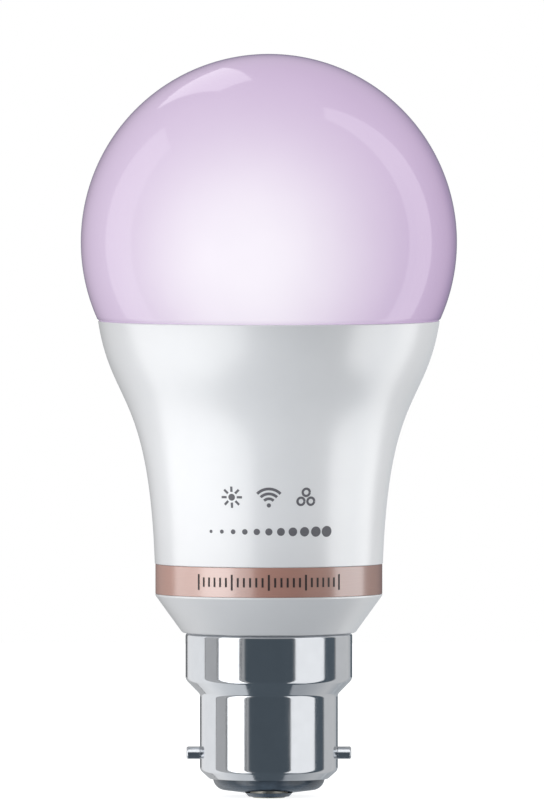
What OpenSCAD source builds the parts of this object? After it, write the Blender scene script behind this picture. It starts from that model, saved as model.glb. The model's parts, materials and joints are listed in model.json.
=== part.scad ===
// Smart LED lamp with a round opal globe and a two-contact bayonet cap.
// Millimetres, +Z from the cap to the globe. The origin is on the lamp's axis at the
// height of the two bayonet pins, which lie along X. The contacts lie along Y.

/* [Globe] */
// Outer diameter of the globe
globe_d = 60; // [59:0.5:61]
// Wall thickness of the globe
globe_wall = 1.2; // [1:0.1:1.4]
// Height of the globe's centre
globe_z = 81.5; // [81:0.1:82]
// Height of the seam between globe and housing
seam_z = 69; // [68.8:0.1:69.2]
// Depth of the globe's lip inside the housing
lip_depth = 2.6; // [2:0.1:2.8]

/* [Housing] */
// Outer diameter of the neck
neck_d = 36.2; // [35.8:0.1:36.6]
// Wall thickness, measured across the axis
housing_wall = 1.4; // [1.2:0.1:1.6]
// Height where the neck starts to flare out
flare_z = 30.3; // [30:0.1:31]
// Outer diameter of the foot that meets the cap
foot_d = 27.6; // [27.2:0.1:28]
// Height of the foot's underside
foot_z = 19.2; // [19:0.1:19.4]
// Height of the lower edge of the accent band
band_z = 25.4; // [25.4:0.1:25.6]
// Width of the accent band, along the axis
band_h = 4.8; // [4:0.1:4.8]
// Thickness of the accent band
band_t = 0.25; // [0.2:0.05:0.3]

/* [Cap] */
// Outer diameter of the bayonet shell
shell_d = 22; // [21.8:0.05:22.1]
// Outer diameter of the skirt
skirt_d = 26.6; // [26.4:0.1:26.8]
// Sheet thickness of the shell
cap_wall = 0.35; // [0.3:0.05:0.4]
// Height where the skirt ends and the step begins
step_top_z = 12.2; // [12:0.1:12.4]
// Height where the step ends and the bayonet shell begins
step_low_z = 9; // [8.6:0.1:9.2]
// Height of the shell's rolled lower rim
rim_z = -4.15; // [-4.3:0.05:-4]
// Diameter of the bayonet pins
pin_d = 2; // [1.9:0.05:2.1]
// Distance across the tips of the bayonet pins
pins_across = 26.3; // [26.1:0.1:26.8]
// Height of the contact faces
contact_z = -6.95; // [-7.2:0.05:-6.9]
// Distance between the centres of the two contacts
contact_pitch = 9.2; // [9:0.1:9.4]
// Diameter of each contact
contact_d = 6.2; // [6:0.1:6.4]

/* [Light engine] */
// Diameter of the light-emitting board
led_board_d = 45; // [44.6:0.2:45.4]
// Thickness of the light-emitting board
led_board_t = 1.2; // [1:0.1:1.2]
// Number of white light sources, half of them cool and half warm
white_count = 16; // [12:2:18]
// Radius of the ring of white light sources
white_ring_r = 19.2; // [19:0.1:19.4]
// Radius of the ring of coloured light sources
colour_ring_r = 14; // [14:0.1:14.2]
// Radius of the ring of board screws
screw_ring_r = 12.5; // [12.4:0.1:12.6]
// Sheet thickness of the heat spreader
spreader_t = 1; // [0.8:0.1:1.1]

/* [Electronics] */
// Thickness of the driver board
driver_t = 1.6; // [1.2:0.1:1.6]
// Width of the driver board above the cap
driver_w = 27; // [26.6:0.1:27.2]
// Width of the driver board's tongue inside the cap
tongue_w = 16; // [15:0.5:16]
// Distance from the lamp's axis to the radio board's middle plane
radio_y = 6.5; // [6.5:0.1:6.8]
// Width of the radio board
radio_w = 16; // [15.6:0.1:16.2]

/* [Hidden] */
$fn = 72;

globe_r = globe_d / 2;
neck_r = neck_d / 2;
foot_r = foot_d / 2;
shell_r = shell_d / 2;
skirt_r = skirt_d / 2;
band_top_z = band_z + band_h;

// The rim of the housing meets the globe's surface at the seam.
rim_r = sqrt(pow(globe_r, 2) - pow(globe_z - seam_z, 2));
rim_bevel = 0.25;

// The flare is one cubic curve from the neck to the rim: [radius, height].
flare = [
    [neck_r + 0.1, flare_z],
    [neck_r + 1.1, 58],
    [rim_r - 2.1, 55.3],
    [rim_r, seam_z]
];
flare_steps = 30;
// Shares of the flare's curve where the heat spreader starts and ends, and where the rebate starts.
spreader_from = 0.05;
spreader_to = 0.8;
rebate_from = 0.9;

// Housing: rounded corners of the neck and the foot, spigot inside the cap, bores and rebate.
corner_r = 1;
foot_bevel_r = 0.6;
neck_corner = [neck_r - corner_r, band_z - 0.2];
foot_corner = [foot_r - foot_bevel_r, foot_z + foot_bevel_r];
cone_normal = tangent(neck_corner, corner_r, foot_corner, foot_bevel_r, 1);
spigot_r = 12.6;
spigot_bore_r = 11.3;
spigot_z = 12.6;
neck_bore_r = neck_r - housing_wall;
neck_bore_z = 25.9;
rebate_r = 26;
rebate_z = 66;
lip_r = 25.7;
rail_top_z = 33;
rail_overlap = 1.3;
rail_half_y = 2.6;
slot_gap = 0.05;

// Cap: radii and centres of the skirt's rolled top edge and of the two bends each of the
// step and of the rim.
roll_r = 0.6;
step_outer_r = 1.2;
step_inner_r = 0.9;
rim_outer_r = 1;
rim_inner_r = 0.5;
rim_opening_r = 8.95;
roll_centre = [skirt_r - roll_r, foot_z - roll_r];
step_centre = [skirt_r - step_outer_r, step_top_z];
cove_centre = [shell_r + step_inner_r, step_low_z];
rim_outer_centre = [shell_r - rim_outer_r, rim_z + 1.85];
rim_inner_centre = [rim_opening_r + 0.3, rim_z + rim_inner_r];
step_normal = tangent(step_centre, step_outer_r, cove_centre, step_inner_r, -1);
rim_normal = tangent(rim_outer_centre, rim_outer_r, rim_inner_centre, rim_inner_r, 1);
insulator_top_z = -1.7;
insulator_low_z = contact_z + 0.6;
collar_r = 3.7;
pin_hole_r = 0.8;
plate_top_z = contact_z + 1.4;
eyelet_r = 1.4;
eyelet_top_z = insulator_top_z + 0.3;
wire_hole_r = 0.8;
solder_r = 1.2;
solder_top_z = contact_z + 0.6;

// Stack of the light engine, from the heat spreader's plate upwards.
plate_z = bezier(flare, spreader_to)[1];
pad_z = plate_z + spreader_t;
pad_t = 0.3;
led_board_z = pad_z + pad_t;
led_z = led_board_z + led_board_t;
boss_r = 2.2;
boss_depth = 3;
screw_r = 1.1;
screw_length = 5.4;
screw_angles = [90, 210, 330];
colour_angles = [0:60:300];

// Connector between the two boards: four pins in a row along X.
connector_y = -1.2;
connector_pitch = 2.54;
connector_places = [for (i = [-1.5:1:1.5]) i * connector_pitch];
connector_pin = 0.32;
pin_slot = 0.34;

// Driver board, with its parts on the front, at negative Y, and on the back.
face_y = driver_t / 2;
driver_top_z = 57;
driver_shoulder_z = 26;
driver_low_z = 3;
lead_r = 0.3;
lead_hole_r = 0.42;
lead_tail = 0.7;
lead_bend = 0.8;
// Cylindrical parts that stand along Z: [x, y, low z, radius, height].
input_can = [0, -face_y - 5.1, 26, 4.9, 14];
output_can = [-5.6, face_y + 4.3, 27, 4, 12];
inductor = [0, -face_y - 4.4, 8, 4, 9];
fuse = [4.5, face_y + 2.2, 5.4, 1.6, 8.4];
inductor_flange = 1.2;
inductor_hub_r = 2;
// Parts that lie against the board's back: [x, z] of the middle.
film_place = [0, 20];
film_size = [9, 4.8, 8];
film_gap = 0.2;
varistor_place = [-4, 11.5];
varistor_r = 3.5;
varistor_t = 3.2;
varistor_gap = 0.4;
// Transformer: core of two windows about a centre leg along Z.
core_y = -6.7;
core_low_z = 40.5;
core_size = [13, 6, 12];
core_yoke = 2;
centre_leg = 3;
core_window = 3.3;
core_mid_z = core_low_z + core_size[2] / 2;
coil_z0 = core_low_z + core_yoke + 0.1;
coil_z1 = core_low_z + core_size[2] - core_yoke - 0.1;
flange_t = 0.8;
flange_size = [9.2, 11.4];

// Leads that bend into the board: [x, y, height where they leave the part, height in the board].
bent_leads = [
    for (side = [-1, 1]) each [
        [input_can[0] + side * 2.5, input_can[1], input_can[2], 24.9],
        [inductor[0] + side * 2, inductor[1], inductor[2], 6.8],
        [output_can[0] + side * 1.5, output_can[1], output_can[2], 25.6]
    ],
    [fuse[0], fuse[1], fuse[2], 4.2],
    [fuse[0], fuse[1], fuse[2] + fuse[4], 15]
];
// Leads that run straight into the board: [x, y where they leave the part, z].
straight_leads = [
    for (side = [-1, 1]) each [
        [film_place[0] + side * 3.4, face_y + film_gap, film_place[1]],
        [varistor_place[0] + side * 2, face_y + varistor_gap, varistor_place[1]],
        [side * 3, core_y + flange_size[1] / 2, coil_z0 + flange_t / 2],
        [side * 3, core_y + flange_size[1] / 2, coil_z1 - flange_t / 2]
    ]
];

// Radio board, behind the driver board and parallel to it.
radio_t = 0.8;
radio_face_y = radio_y + radio_t / 2;
radio_low_z = 50;
radio_top_z = 74;
radio_pin_z = 52;
radio_pin_r = 0.3;
radio_pin_places = [for (i = [-3.5:1:3.5]) i * 2];

// Supply wires inside the cap, from the contacts' eyelets to the driver board.
front_route = [
    [0, -4.6, -1.3], [0, -4.6, 0.2], [-0.3, -4.6, 1.4], [-1.2, -4.4, 2.8],
    [-2.3, -3.8, 4], [-3.1, -2.9, 4.7], [-3.4, -2, 4.9], [-3.4, -1.1, 4.9]
];
rear_route = [
    [0, 4.6, -1.3], [0, 4.6, 0.2], [0.1, 4.6, 1.4], [0.4, 4.3, 2.8],
    [0.8, 3.6, 3.9], [1.2, 2.7, 4.6], [1.4, 1.9, 4.9], [1.4, 1.1, 4.9]
];
wire_r = 0.65;
core_r = 0.35;

// ---- Curves ----

// A point of a cubic curve at share t.
function bezier(p, t) =
    pow(1 - t, 3) * p[0] + 3 * pow(1 - t, 2) * t * p[1]
    + 3 * (1 - t) * t * t * p[2] + pow(t, 3) * p[3];

// Points of the flare from share a to share b, moved in by inset.
function flare_line(a, b, inset = 0) = [
    for (i = [0:flare_steps])
        bezier(flare, a + (b - a) * i / flare_steps) - [inset, 0]
];

// Points on an arc about c, from angle a to angle b.
function arc(c, r, a, b, steps = 8) = [
    for (i = [0:steps])
        let (w = a + (b - a) * i / steps)
        c + r * [cos(w), sin(w)]
];

function reversed(points) = [for (i = [len(points) - 1:-1:0]) points[i]];

// Direction of the normal of the line that touches two circles. With side = 1 both
// circles lie on the same side of the line, and with side = -1 on opposite sides.
function tangent(c1, r1, c2, r2, side) =
    let (d = c2 - c1)
    atan2(d[1], d[0]) + acos((r1 - side * r2) / norm(d));

// ---- Sweep for the wires ----

function unit(v) = v / norm(v);

// A smooth line through the points of a route.
function smooth_route(p, steps = 4) = concat([
    for (i = [0:len(p) - 2], k = [0:steps - 1])
        let (
            a = p[max(i - 1, 0)], b = p[i], c = p[i + 1], d = p[min(i + 2, len(p) - 1)],
            t = k / steps
        )
        0.5 * (2 * b + (c - a) * t + (2 * a - 5 * b + 4 * c - d) * t * t
            + (3 * b - a - 3 * c + d) * t * t * t)
], [p[len(p) - 1]]);

// One ring of points across the line p at its point i.
function ring_at(p, i, r, sides) =
    let (
        along = unit(p[min(i + 1, len(p) - 1)] - p[max(i - 1, 0)]),
        u = unit(cross(along, [1, 0, 0])),
        v = cross(along, u)
    )
    [for (k = [0:sides - 1]) p[i] + r * (u * cos(360 * k / sides) + v * sin(360 * k / sides))];

module tube(p, r, sides = 10) {
    last = (len(p) - 1) * sides;
    points = [for (i = [0:len(p) - 1]) each ring_at(p, i, r, sides)];
    walls = [
        for (i = [0:len(p) - 2], k = [0:sides - 1])
            let (m = (k + 1) % sides)
            [i * sides + k, (i + 1) * sides + k, (i + 1) * sides + m, i * sides + m]
    ];
    start = [for (k = [0:sides - 1]) k];
    end = [for (k = [sides - 1:-1:0]) last + k];
    polyhedron(points, concat(walls, [start, end]));
}

// ---- Helpers ----

// A box given by its lowest and highest corners.
module block(low, high) {
    translate(low) cube(high - low);
}

module ring(r_out, r_in, z0, z1) {
    rotate_extrude() polygon([[r_in, z0], [r_out, z0], [r_out, z1], [r_in, z1]]);
}

module around(r, angles) {
    for (a = angles) rotate(a) translate([r, 0, 0]) children();
}

// A rod along Y from y0 to y1.
module rod_y(x, z, r, y0, y1) {
    translate([x, y0, z]) rotate([-90, 0, 0]) cylinder(r = r, h = y1 - y0);
}

// Children at the middle of each contact.
module at_contacts() {
    for (side = [-1, 1]) translate([0, side * contact_pitch / 2, 0]) children();
}

// ---- Globe ----

module diffuser_globe() {
    inner_r = globe_r - globe_wall;
    centre = [0, globe_z];
    start = asin((seam_z + rim_bevel - globe_z) / globe_r);
    inner_start = asin((seam_z - globe_z) / inner_r) + 2;
    lip_low_z = seam_z - lip_depth;
    color([0.87, 0.80, 0.93])
    rotate_extrude() polygon(concat(
        [[lip_r - globe_wall, lip_low_z], [lip_r, lip_low_z], [lip_r, seam_z]],
        [[rim_r - rim_bevel, seam_z]],
        arc(centre, globe_r, start, 90, 60),
        arc(centre, inner_r, 90, inner_start, 60),
        [[lip_r - globe_wall, seam_z + 0.6]]
    ));
}

module globe_sealant() {
    color([0.90, 0.90, 0.90])
    ring(rebate_r, lip_r, seam_z - lip_depth + 0.1, seam_z - 0.4);
}

// ---- Housing ----

function housing_outside() = concat(
    [[spigot_bore_r, spigot_z], [spigot_r - 0.3, spigot_z], [spigot_r, spigot_z + 0.3]],
    [[spigot_r, foot_z]],
    arc(foot_corner, foot_bevel_r, -90, cone_normal),
    arc(neck_corner, corner_r, cone_normal, 0),
    [[neck_r, band_z], [neck_r - band_t, band_z]],
    [[neck_r - band_t, band_top_z], [neck_r, band_top_z]],
    flare_line(0, 0.99),
    [[rim_r - rim_bevel, seam_z]]
);

function housing_inside() =
    let (inner = reversed(flare_line(0, rebate_from, housing_wall)))
    concat(
        [[rebate_r, seam_z], [rebate_r, rebate_z], [inner[0][0], rebate_z]],
        inner,
        [[neck_bore_r, neck_bore_z], [spigot_bore_r, foot_z]]
    );

// Slotted rail that holds one edge of the driver board.
module board_rail() {
    edge_x = driver_w / 2;
    slot_half = face_y + slot_gap;
    rail_x = edge_x - rail_overlap;
    difference() {
        block([rail_x, -rail_half_y, driver_shoulder_z - 0.8],
              [neck_bore_r + 0.3, rail_half_y, rail_top_z]);
        block([rail_x - 1, -slot_half, driver_shoulder_z],
              [edge_x + 2 * slot_gap, slot_half, rail_top_z + 1]);
    }
}

module housing() {
    color([0.93, 0.94, 0.95])
    union() {
        rotate_extrude() polygon(concat(housing_outside(), housing_inside()));
        board_rail();
        mirror([1, 0, 0]) board_rail();
    }
}

module accent_band() {
    color([0.76, 0.58, 0.54])
    ring(neck_r, neck_r - band_t, band_z, band_top_z);
}

// ---- Cap ----

// The rim's two bends, moved in by inset.
function rim_line(inset) = concat(
    arc(rim_outer_centre, rim_outer_r - inset, 0, rim_normal),
    arc(rim_inner_centre, rim_inner_r - inset, rim_normal, -90)
);

// One side of the cap's sheet, moved in by inset.
function cap_line(inset) = concat(
    arc(roll_centre, roll_r - inset, 90, 0),
    arc(step_centre, step_outer_r - inset, 0, step_normal),
    arc(cove_centre, step_inner_r + inset, step_normal + 180, 180),
    rim_line(inset),
    [[rim_opening_r, rim_z + inset]]
);

module cap_shell() {
    color([0.78, 0.80, 0.82])
    difference() {
        rotate_extrude() polygon(concat(cap_line(0), reversed(cap_line(cap_wall))));
        rotate([0, 90, 0]) cylinder(r = pin_hole_r, h = 2 * shell_r + 4, center = true);
    }
}

module cap_cement() {
    color([0.82, 0.80, 0.74])
    ring(skirt_r - cap_wall, spigot_r, spigot_z + 0.5, foot_z - roll_r);
}

module cap_insulator() {
    gap = 0.03;
    edge_r = 2;
    edge_centre = [rim_opening_r - gap - edge_r, insulator_low_z + 2.4];
    collar_h = 0.4;
    color([0.10, 0.11, 0.13])
    difference() {
        union() {
            rotate_extrude() polygon(concat(
                [[0, insulator_top_z], [0, insulator_low_z], [4.3, insulator_low_z + 0.05]],
                arc(edge_centre, edge_r, -75, 0),
                [[rim_opening_r - gap, rim_z + cap_wall + gap]],
                reversed(rim_line(cap_wall + gap)),
                [[shell_r - cap_wall - gap, insulator_top_z]]
            ));
            at_contacts()
                translate([0, 0, insulator_low_z - collar_h])
                cylinder(r1 = collar_r - 0.45, r2 = collar_r + 0.1, h = collar_h + 0.2);
        }
        at_contacts() {
            translate([0, 0, contact_z - 1]) cylinder(d = contact_d, h = plate_top_z - contact_z + 1);
            translate([0, 0, contact_z]) cylinder(r = eyelet_r, h = 8);
        }
    }
}

// A contact plate with its eyelet, drawn on its own axis.
module contact() {
    rim = contact_d / 2;
    color([0.80, 0.72, 0.50])
    rotate_extrude() polygon([
        [solder_r, contact_z], [rim - 0.6, contact_z], [rim, contact_z + 0.45],
        [rim, plate_top_z], [eyelet_r, plate_top_z], [eyelet_r, eyelet_top_z],
        [wire_hole_r, eyelet_top_z], [wire_hole_r, solder_top_z], [solder_r, solder_top_z]
    ]);
}

module contact_front() {
    translate([0, -contact_pitch / 2, 0]) contact();
}

module contact_rear() {
    translate([0, contact_pitch / 2, 0]) contact();
}

// Solder in the mouth of each eyelet, domed but just short of the contact's face.
module contact_solder() {
    sunk = 0.04;
    dome = 0.2;
    dome_r = (pow(solder_r, 2) + pow(dome, 2)) / (2 * dome);
    half = asin(solder_r / dome_r);
    color([0.72, 0.73, 0.74])
    at_contacts()
    rotate_extrude() polygon(concat(
        arc([0, contact_z + sunk + dome_r], dome_r, -90, -90 + half),
        [[solder_r, solder_top_z], [0, solder_top_z]]
    ));
}

// A bayonet pin along +X: inner rivet head, shank through the shell, and outer stud.
module bayonet_pin() {
    tip = pins_across / 2;
    bevel = 0.3;
    stud_r = pin_d / 2;
    head_r = stud_r + 0.2;
    head_top = shell_r - cap_wall - 0.15;
    color([0.75, 0.77, 0.79])
    rotate([0, 90, 0])
    rotate_extrude() polygon([
        [0, head_top - 0.35], [head_r, head_top - 0.35], [head_r, head_top], [pin_hole_r, head_top],
        [pin_hole_r, shell_r], [stud_r, shell_r], [stud_r, tip - bevel], [stud_r - bevel, tip], [0, tip]
    ]);
}

module bayonet_pin_right() {
    bayonet_pin();
}

module bayonet_pin_left() {
    mirror([1, 0, 0]) bayonet_pin();
}

// ---- Light engine ----

// Openings that the connector's pins and the radio board pass through, wider by grow.
module board_openings(grow, z0, z1) {
    pins_x = 5.6 + grow;
    radio_x = radio_w / 2 + 0.3 + grow;
    half_y = 0.7 + grow;
    block([-pins_x, connector_y - half_y, z0], [pins_x, connector_y + half_y, z1]);
    block([-radio_x, radio_y - half_y, z0], [radio_x, radio_y + half_y, z1]);
}

module screw_holes(r, z0, z1) {
    around(screw_ring_r, screw_angles) translate([0, 0, z0]) cylinder(r = r, h = z1 - z0);
}

module heat_spreader() {
    outside = housing_wall + 0.05;
    plate_r = bezier(flare, spreader_to)[0] - outside;
    color([0.80, 0.81, 0.82])
    difference() {
        union() {
            rotate_extrude() polygon(concat(
                flare_line(spreader_from, spreader_to, outside),
                [[plate_r, pad_z], [0, pad_z], [0, plate_z], [plate_r - spreader_t - 0.2, plate_z]],
                reversed(flare_line(spreader_from, spreader_to - 0.02, outside + spreader_t))
            ));
            around(screw_ring_r, screw_angles)
                translate([0, 0, plate_z - boss_depth]) cylinder(r = boss_r, h = boss_depth + 0.5);
        }
        board_openings(0.8, plate_z - 1, pad_z + 1);
        screw_holes(screw_r + 0.05, plate_z - boss_depth - 1, pad_z + 1);
    }
}

module thermal_pad() {
    color([0.62, 0.70, 0.78])
    difference() {
        translate([0, 0, pad_z]) cylinder(d = led_board_d - 1, h = pad_t);
        board_openings(0.5, pad_z - 1, pad_z + 1);
        screw_holes(screw_r + 0.4, pad_z - 1, pad_z + 1);
    }
}

module led_board() {
    color([0.96, 0.96, 0.95])
    difference() {
        translate([0, 0, led_board_z]) cylinder(d = led_board_d, h = led_board_t);
        board_openings(0, led_board_z - 1, led_z + 1);
        screw_holes(screw_r + 0.2, led_board_z - 1, led_z + 1);
    }
}

// A surface-mounted light source with a sunken emitting face, on the board's surface.
module light_source(w, d, h) {
    sunk = 0.15;
    difference() {
        block([-w / 2, -d / 2, led_z], [w / 2, d / 2, led_z + h]);
        translate([0, 0, led_z + h - sunk]) cylinder(r1 = d / 2 - 0.5, r2 = d / 2 - 0.35, h = 2 * sunk);
    }
}

// Every second source of the white ring, counted from first.
module white_half(first) {
    step = 360 / white_count;
    around(white_ring_r, [for (i = [first:2:white_count - 1]) (i + 0.5) * step])
        light_source(2.8, 3.5, 0.7);
}

module cool_white_leds() {
    color([0.95, 0.93, 0.70]) white_half(0);
}

module warm_white_leds() {
    color([0.96, 0.80, 0.42]) white_half(1);
}

module colour_leds() {
    color([0.97, 0.97, 0.97])
    around(colour_ring_r, colour_angles) light_source(3.5, 3.5, 0.9);
}

module board_screw() {
    head_r = 2.1;
    head_h = 1.3;
    edge_r = 0.7;
    cross_w = 0.28;
    difference() {
        union() {
            rotate_extrude() polygon(concat(
                [[0, led_z], [head_r, led_z]],
                arc([head_r - edge_r, led_z + head_h - edge_r], edge_r, 0, 90, 6),
                [[0, led_z + head_h]]
            ));
            translate([0, 0, led_z - screw_length]) cylinder(r = screw_r, h = screw_length + 0.1);
        }
        for (turn = [0, 90])
            rotate(turn)
            block([-1.3, -cross_w, led_z + 0.55], [1.3, cross_w, led_z + 2]);
    }
}

module board_screws() {
    color([0.70, 0.70, 0.72])
    around(screw_ring_r, screw_angles) board_screw();
}

// ---- Connector between the driver board and the light-emitting board ----

// A square bar about each of the connector's pin places.
module connector_bars(half, z0, z1) {
    for (x = connector_places)
        block([x - half, connector_y - half, z0], [x + half, connector_y + half, z1]);
}

module board_connector() {
    body = [6.4, 1.9, 2.6];
    pocket = [5.7, 1.2, 1];
    color([0.95, 0.94, 0.90])
    difference() {
        block([-body[0], connector_y - body[1], led_z],
              [body[0], connector_y + body[1], led_z + body[2]]);
        block([-pocket[0], connector_y - pocket[1], led_z + body[2] - pocket[2]],
              [pocket[0], connector_y + pocket[1], led_z + body[2] + 1]);
        connector_bars(pin_slot, led_z - 1, led_z + body[2]);
    }
}

module connector_header() {
    low = driver_top_z + 0.2;
    color([0.08, 0.08, 0.09])
    difference() {
        block([-5.2, connector_y - 1.25, low], [5.2, connector_y + 1.25, low + 2.4]);
        connector_bars(pin_slot, low - 1, low + 3);
    }
}

module connector_pins() {
    color([0.85, 0.72, 0.38])
    connector_bars(connector_pin, driver_top_z - 2.5, led_z + 2.2);
}

// ---- Radio ----

module radio_board() {
    color([0.08, 0.16, 0.14])
    difference() {
        block([-radio_w / 2, radio_y - radio_t / 2, radio_low_z], [radio_w / 2, radio_face_y, radio_top_z]);
        for (x = radio_pin_places) rod_y(x, radio_pin_z, lead_hole_r, radio_y - 2, radio_y + 2);
    }
}

module radio_shield() {
    half_w = 6.2;
    depth = 2.1;
    low_z = 54.6;
    high_z = 61.6;
    sheet = 0.2;
    color([0.75, 0.77, 0.78])
    difference() {
        block([-half_w, radio_face_y, low_z], [half_w, radio_face_y + depth, high_z]);
        block([-half_w + sheet, radio_face_y - 1, low_z + sheet],
              [half_w - sheet, radio_face_y + depth - sheet, high_z - sheet]);
        for (x = [-4, 0, 4], z = [low_z + 2, high_z - 2])
            rod_y(x, z, 0.35, radio_face_y + 1, radio_face_y + depth + 1);
    }
}

// Printed antenna: a folded track on the part of the radio board that stands in the globe.
module radio_antenna() {
    turns = 6;
    pitch = 1.9;
    half_track = 0.25;
    copper_y = radio_face_y + 0.1;
    low = 68.4;
    high = 72.8;
    color([0.80, 0.62, 0.28])
    for (i = [0:turns]) {
        x = (i - turns / 2) * pitch;
        block([x - half_track, radio_face_y, low], [x + half_track, copper_y, high]);
        if (i < turns) {
            z = i % 2 == 0 ? high - 2 * half_track : low;
            block([x - half_track, radio_face_y, z],
                  [x + pitch + half_track, copper_y, z + 2 * half_track]);
        }
    }
}

module radio_header() {
    color([0.08, 0.08, 0.09])
    difference() {
        block([-8.2, face_y, radio_pin_z - 1], [8.2, face_y + 2.5, radio_pin_z + 1]);
        for (x = radio_pin_places) rod_y(x, radio_pin_z, pin_slot, 0, face_y + 3);
    }
}

module radio_pins() {
    color([0.85, 0.72, 0.38])
    for (x = radio_pin_places)
        rod_y(x, radio_pin_z, radio_pin_r, -face_y - 0.8, radio_face_y + 0.6);
}

// ---- Driver board and its parts ----

// Children for each point where a wire or lead crosses the board, with $at = [x, z].
module at_board_holes() {
    for (p = bent_leads) {
        $at = [p[0], p[3]];
        children();
    }
    for (p = straight_leads) {
        $at = [p[0], p[2]];
        children();
    }
    for (route = [front_route, rear_route]) {
        end = route[len(route) - 1];
        $at = [end[0], end[2]];
        children();
    }
    for (x = radio_pin_places) {
        $at = [x, radio_pin_z];
        children();
    }
}

module driver_board() {
    half_w = driver_w / 2;
    half_tongue = tongue_w / 2;
    color([0.10, 0.42, 0.26])
    difference() {
        union() {
            block([-half_w, -face_y, driver_shoulder_z], [half_w, face_y, driver_top_z]);
            block([-half_tongue, -face_y, driver_low_z], [half_tongue, face_y, driver_shoulder_z + 1]);
        }
        at_board_holes() rod_y($at[0], $at[1], lead_hole_r, -2, 2);
    }
}

module transformer_core() {
    window_x = (centre_leg + core_window) / 2;
    color([0.17, 0.17, 0.18])
    difference() {
        translate([0, core_y, core_mid_z]) cube(core_size, center = true);
        for (side = [-1, 1])
            translate([side * window_x, core_y, core_mid_z])
            cube([core_window, core_size[1] + 2, core_size[2] - 2 * core_yoke], center = true);
    }
}

// A slab with rounded corners about the transformer's centre leg.
module coil_slab(w, d, z0, z1, r = 0.8) {
    translate([0, core_y, z0])
    linear_extrude(z1 - z0)
    union() {
        square([w, d - 2 * r], center = true);
        square([w - 2 * r, d], center = true);
        for (sx = [-1, 1], sy = [-1, 1])
            translate([sx * (w / 2 - r), sy * (d / 2 - r)]) circle(r = r);
    }
}

module transformer_bobbin() {
    color([0.12, 0.12, 0.13])
    difference() {
        union() {
            coil_slab(centre_leg + 1.4, core_size[1] + 1.4, coil_z0, coil_z1);
            coil_slab(flange_size[0], flange_size[1], coil_z0, coil_z0 + flange_t);
            coil_slab(flange_size[0], flange_size[1], coil_z1 - flange_t, coil_z1);
        }
        translate([0, core_y, core_mid_z])
        cube([centre_leg + 0.1, core_size[1] + 0.2, core_size[2]], center = true);
    }
}

module transformer_winding() {
    color([0.86, 0.70, 0.22])
    difference() {
        coil_slab(flange_size[0] - 0.4, flange_size[1] - 0.4,
                  coil_z0 + flange_t + 0.05, coil_z1 - flange_t - 0.05, 1.6);
        coil_slab(centre_leg + 1.5, core_size[1] + 1.5, coil_z0, coil_z1);
    }
}

// A can with a rolled groove near its foot and a bevelled top: [x, y, low z, radius, height].
module can(place) {
    r = place[3];
    h = place[4];
    groove_z = 1.4;
    bevel = 0.4;
    translate([place[0], place[1], place[2]])
    rotate_extrude() polygon([
        [0, 0], [r - bevel, 0], [r, bevel], [r, groove_z - bevel], [r - bevel, groove_z],
        [r, groove_z + bevel], [r, h - bevel], [r - bevel, h], [0, h]
    ]);
}

module input_capacitor() {
    color([0.13, 0.15, 0.20]) can(input_can);
}

module output_capacitor() {
    color([0.16, 0.13, 0.11]) can(output_can);
}

module film_capacitor() {
    color([0.80, 0.66, 0.16])
    translate([film_place[0], face_y + film_gap + film_size[1] / 2, film_place[1]])
    cube(film_size, center = true);
}

// Drum core with a flange at each end.
module filter_inductor_core() {
    r = inductor[3];
    h = inductor[4];
    color([0.22, 0.22, 0.23])
    translate([inductor[0], inductor[1], inductor[2]])
    rotate_extrude() polygon([
        [0, 0], [r, 0], [r, inductor_flange], [inductor_hub_r, inductor_flange],
        [inductor_hub_r, h - inductor_flange], [r, h - inductor_flange], [r, h], [0, h]
    ]);
}

module filter_inductor_winding() {
    color([0.72, 0.36, 0.18])
    translate([inductor[0], inductor[1], inductor[2]])
    ring(inductor[3] - 0.4, inductor_hub_r, inductor_flange, inductor[4] - inductor_flange);
}

module varistor() {
    edge_r = 0.8;
    edge_x = varistor_r - edge_r;
    color([0.16, 0.34, 0.62])
    translate([varistor_place[0], face_y + varistor_gap, varistor_place[1]])
    rotate([-90, 0, 0])
    rotate_extrude() polygon(concat(
        [[0, 0]],
        arc([edge_x, edge_r], edge_r, -90, 0, 5),
        arc([edge_x, varistor_t - edge_r], edge_r, 0, 90, 5),
        [[0, varistor_t]]
    ));
}

module fusible_resistor() {
    r = fuse[3];
    h = fuse[4];
    waist = 0.2;
    cap = 1.9;
    color([0.45, 0.62, 0.46])
    translate([fuse[0], fuse[1], fuse[2]])
    rotate_extrude() polygon([
        [0, 0], [r - 0.5, 0], [r, 0.5], [r, cap], [r - waist, cap + 0.4],
        [r - waist, h - cap - 0.4], [r, h - cap], [r, h - 0.5], [r - 0.5, h], [0, h]
    ]);
}

// A moulded chip with leads on two sides, on the back of the driver board.
module chip(x, z, w, h, t, pins) {
    pitch = h / pins;
    foot = 0.7;
    half_lead = 0.22;
    block([x - w / 2, face_y + 0.1, z - h / 2], [x + w / 2, face_y + t, z + h / 2]);
    for (i = [0:pins - 1]) {
        lead_z = z + (i - (pins - 1) / 2) * pitch;
        block([x - w / 2 - foot, face_y, lead_z - half_lead],
              [x + w / 2 + foot, face_y + 0.35, lead_z + half_lead]);
    }
}

module bridge_rectifier() {
    color([0.09, 0.09, 0.10]) chip(5.5, 30.5, 4.7, 4, 2.4, 2);
}

module driver_chips() {
    color([0.09, 0.09, 0.10])
    for (place = [[7.5, 37.5], [7.5, 45.5], [-7.5, 45.5]])
        chip(place[0], place[1], 3.9, 4.9, 1.6, 4);
}

// Chip resistors and capacitors: a column by each edge of the board, on both faces.
module small_components() {
    size = [1.6, 0.55, 0.9];
    color([0.70, 0.62, 0.50])
    for (i = [0:4], side = [-1, 1], face = [-1, 1])
        translate([side * 12, face * (face_y + size[1] / 2), 36 + 4.2 * i])
        cube(size, center = true);
}

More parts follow.
